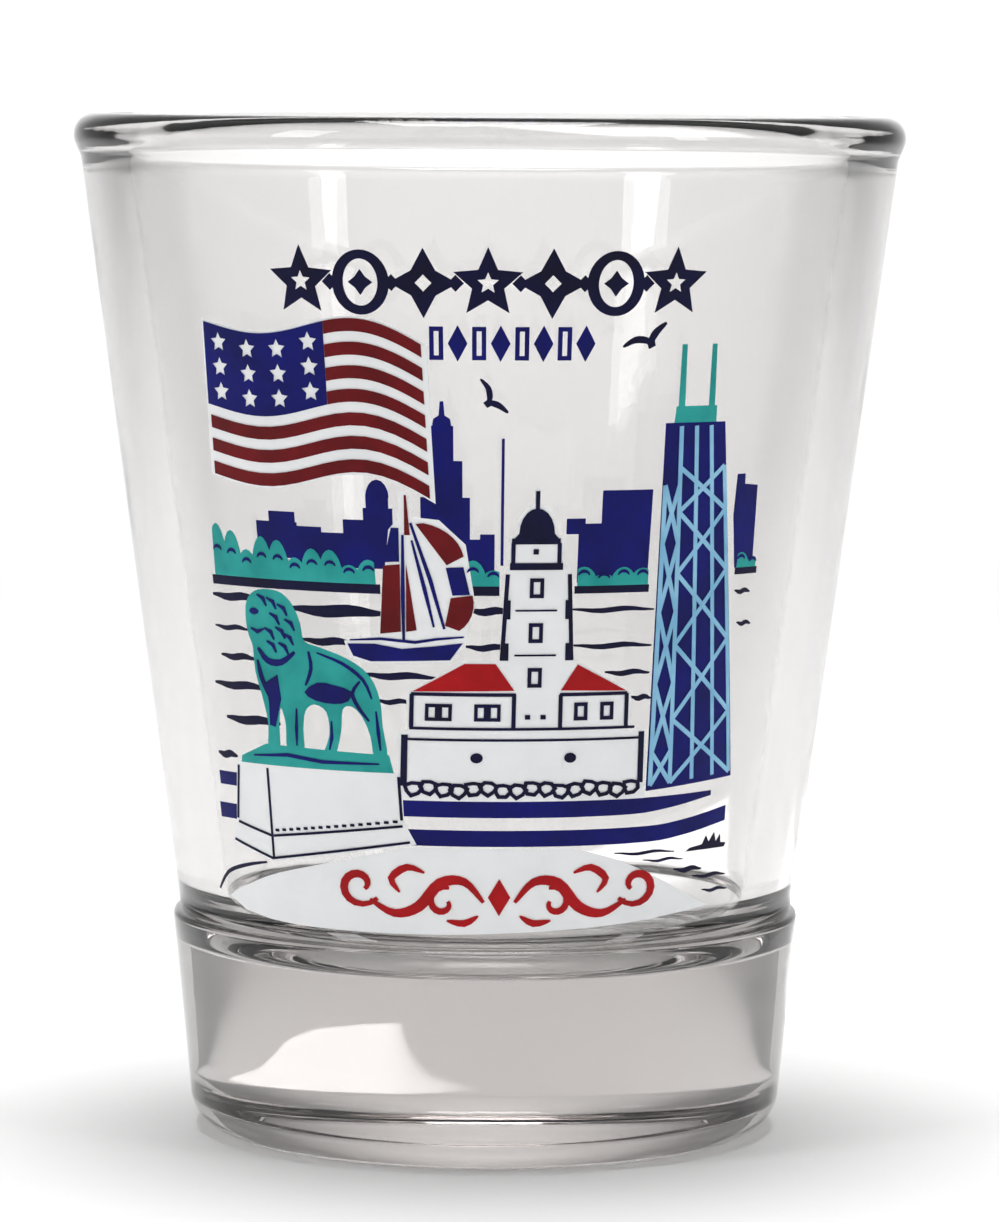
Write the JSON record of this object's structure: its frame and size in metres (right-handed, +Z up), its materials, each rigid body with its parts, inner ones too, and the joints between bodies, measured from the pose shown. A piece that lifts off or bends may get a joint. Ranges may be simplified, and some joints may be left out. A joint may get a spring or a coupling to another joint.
{
  "type": "shot glass",
  "caption": "Flared shot glass with a thick solid base and rounded rim, printed on one side with a harbour scene in fired enamel inks.",
  "frame": {"origin": "centre of the foot, on the surface that the glass stands on", "axes": "+Z up along the glass's own axis to the rim; the middle of the printed picture faces -Y, and +X is to its right"},
  "size_m": [0.05, 0.05, 0.0613],
  "materials": {
    "clear_glass": "fire-polished clear soda-lime glass",
    "ink_white": "fired screen-print enamel, satin gloss",
    "ink_navy": "fired screen-print enamel, satin gloss",
    "ink_dark_navy": "fired screen-print enamel, satin gloss",
    "ink_maroon": "fired screen-print enamel, satin gloss",
    "ink_red": "fired screen-print enamel, satin gloss",
    "ink_teal": "fired screen-print enamel, satin gloss",
    "ink_pale_blue": "fired screen-print enamel, satin gloss"
  },
  "bodies": {
    "root": {"glass_body": "clear_glass", "title_star_band": "ink_dark_navy", "subtitle_lozenge_row": "ink_navy", "flag_white_ground": "ink_white", "flag_canton": "ink_navy", "flag_stripes": "ink_maroon", "gulls": "ink_dark_navy", "skyline": "ink_navy", "treeline": "ink_teal", "treeline_shading": "ink_navy", "shoreline": "ink_dark_navy", "water_lines": "ink_dark_navy", "water_bands": "ink_navy", "sailboat_white_ground": "ink_white", "sailboat_sails": "ink_maroon", "sailboat_hull_and_mast": "ink_navy", "lighthouse_white_ground": "ink_white", "lighthouse_roofs": "ink_red", "lighthouse_linework": "ink_dark_navy", "breakwater_rocks": "ink_dark_navy", "braced_tower": "ink_navy", "tower_bracing": "ink_pale_blue", "tower_crown_and_masts": "ink_teal", "lion_statue": "ink_teal", "lion_shading": "ink_navy", "plinth_white_ground": "ink_white", "plinth_linework": "ink_dark_navy", "shore_white_ground": "ink_white", "ribbon_flourish": "ink_red", "distant_boats": "ink_dark_navy"}
  },
  "joints": []
}
